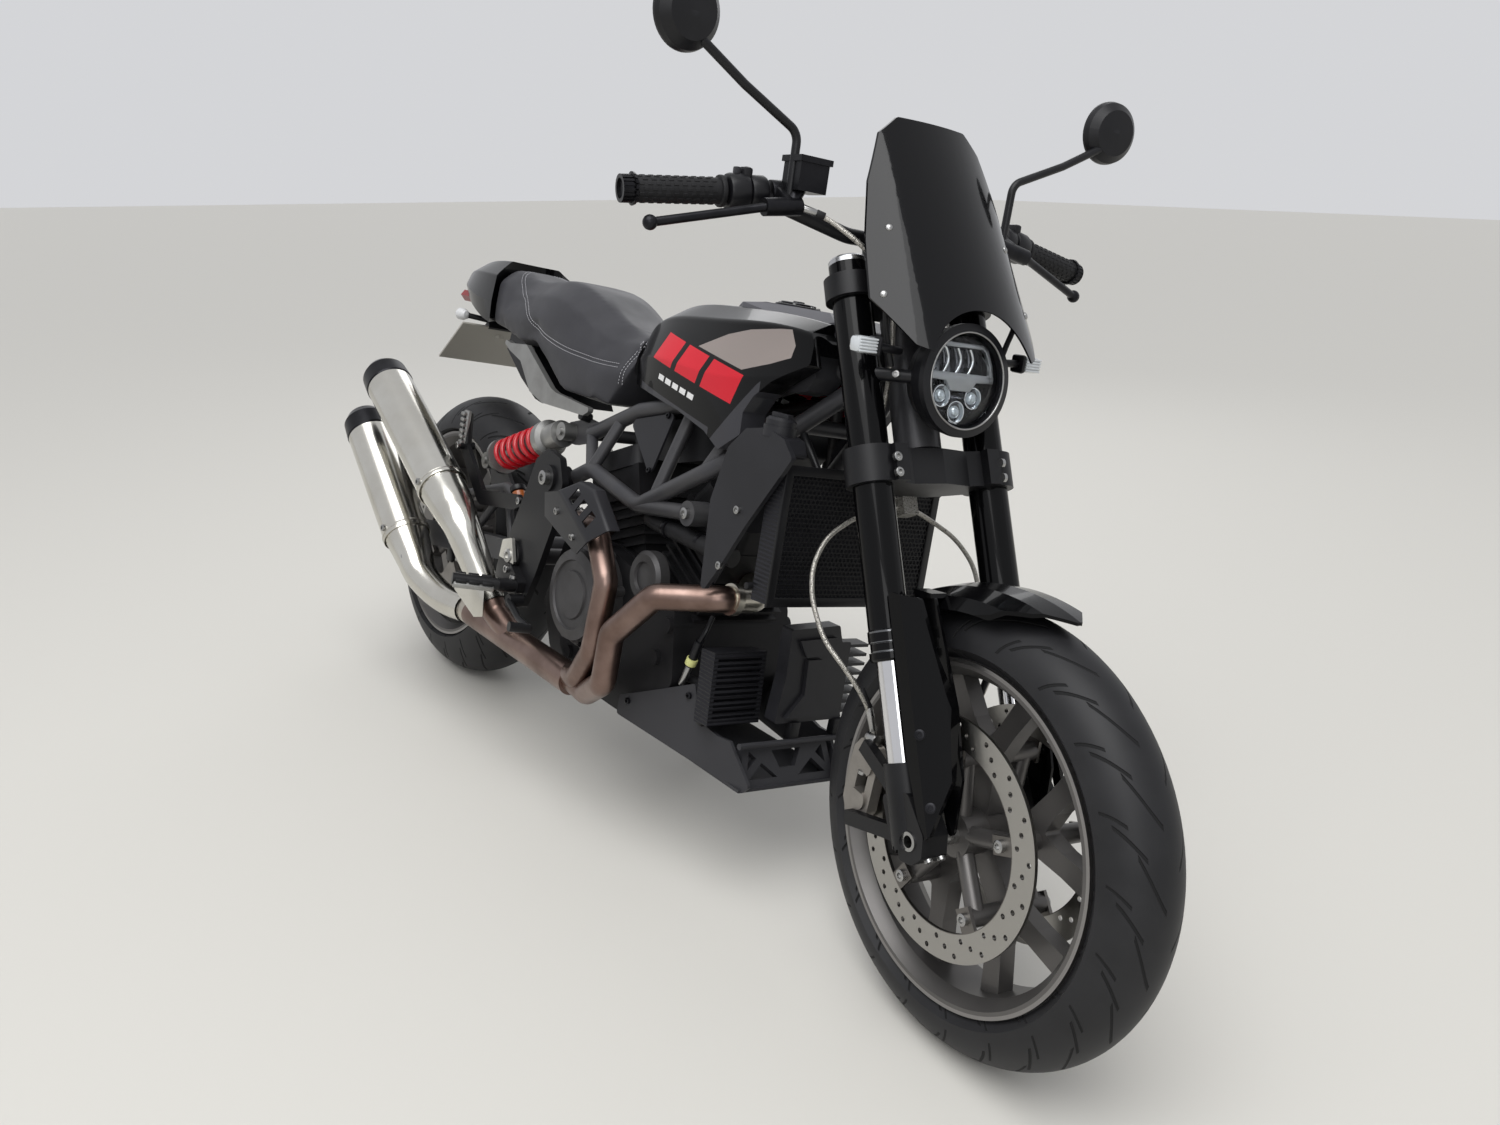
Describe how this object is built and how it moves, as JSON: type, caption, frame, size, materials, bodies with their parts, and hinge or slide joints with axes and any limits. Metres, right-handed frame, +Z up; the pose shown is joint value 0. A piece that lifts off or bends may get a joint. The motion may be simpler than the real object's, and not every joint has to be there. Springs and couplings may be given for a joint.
{
  "type": "standard motorcycle",
  "caption": "Standard road motorcycle with a V-twin engine, trellis frame, fly screen and stacked silencers, leaning on its side stand.",
  "frame": {"origin": "on the floor, under the middle of the machine's bounding box, as it leans on its stand", "axes": "+X forward along the machine, +Y to its left, +Z up"},
  "size_m": [2.138, 0.9066, 1.3472],
  "materials": {
    "bare_steel": "satin",
    "bronzed_steel": "satin",
    "chromed": "polished",
    "clear_lens": "gloss",
    "dark_metal": "satin",
    "dark_titanium": "satin",
    "engine_black": "matt",
    "engine_grey": "matt",
    "frame_grey": "satin",
    "gloss_black": "gloss",
    "graphite": "satin",
    "grip_rubber": "matt",
    "leatherette": "matt",
    "matt_black": "matt",
    "matt_grey": "matt",
    "red_paint": "gloss",
    "satin_alloy": "satin",
    "satin_black": "satin",
    "stainless": "brushed",
    "tyre": "matt"
  },
  "bodies": {
    "chassis": {"frame_trellis": "frame_grey", "frame_infills": "matt_grey", "pivot_plates": "satin_black", "crankcase": "engine_black", "cylinders": "engine_black", "engine_covers": "engine_grey", "tank": "gloss_black", "tank_trim": "matt_grey", "seat": "leatherette", "tail_cowl": "gloss_black", "under_covers": "matt_black", "rear_subframe": "satin_alloy", "tail_fittings": "matt_black", "radiator": "matt_black", "radiator_guard": "satin_black", "radiator_shrouds": "matt_grey", "oil_cooler": "satin_black", "regulator_cover": "matt_black", "belly_pan": "matt_grey", "exhaust_headers": "bronzed_steel", "silencers": "stainless", "silencer_caps": "matt_black", "heat_shield": "matt_grey", "swingarm": "frame_grey", "rear_axle": "bare_steel", "rear_caliper": "dark_titanium", "shock": "bare_steel", "shock_spring": "red_paint", "chain": "bare_steel", "foot_pegs": "satin_alloy", "foot_controls": "satin_black"},
    "steering": {"fork_outers": "gloss_black", "stanchions": "chromed", "fork_bottoms": "satin_black", "front_axle": "bare_steel", "front_calipers": "dark_titanium", "front_brake_hoses": "bare_steel", "lower_clamp": "satin_black", "upper_clamp": "satin_black", "handlebar": "satin_black", "grips": "grip_rubber", "switchgear": "matt_black", "levers": "dark_metal", "mirrors": "matt_black", "headlamp_shell": "matt_black", "headlamp_unit": "satin_alloy", "headlamp_lens": "clear_lens", "fly_screen": "gloss_black", "front_mudguard": "gloss_black", "front_indicators": "matt_black", "instrument": "matt_black"},
    "front_wheel": {"front_tyre": "tyre", "front_rim": "graphite", "front_discs": "bare_steel"},
    "rear_wheel": {"rear_tyre": "tyre", "rear_rim": "graphite", "rear_disc": "bare_steel", "sprocket": "bare_steel"},
    "side_stand": {"side_stand": "satin_black"}
  },
  "joints": [
    {"name": "steering_turn", "type": "hinge", "parent": "chassis", "child": "steering", "pos_m": [0.73658, -0.16967, 0.27987], "axis": [-0.4279, 0.1995, 0.8815], "range_deg": [-22.75, 37.25]},
    {"name": "front_wheel_spin", "type": "hinge", "parent": "steering", "child": "front_wheel", "pos_m": [0.77065, -0.17079, 0.29666], "axis": [0.1142, 0.9794, -0.1663], "continuous": true},
    {"name": "rear_wheel_spin", "type": "hinge", "parent": "chassis", "child": "rear_wheel", "pos_m": [-0.75408, -0.16278, 0.30945], "axis": [0.0001, 0.9753, -0.2207], "continuous": true},
    {"name": "side_stand_swing", "type": "hinge", "parent": "chassis", "child": "side_stand", "pos_m": [-0.15399, -0.07792, 0.15014], "axis": [0.1007, 0.9477, 0.3028], "range_deg": [0, 95]}
  ]
}
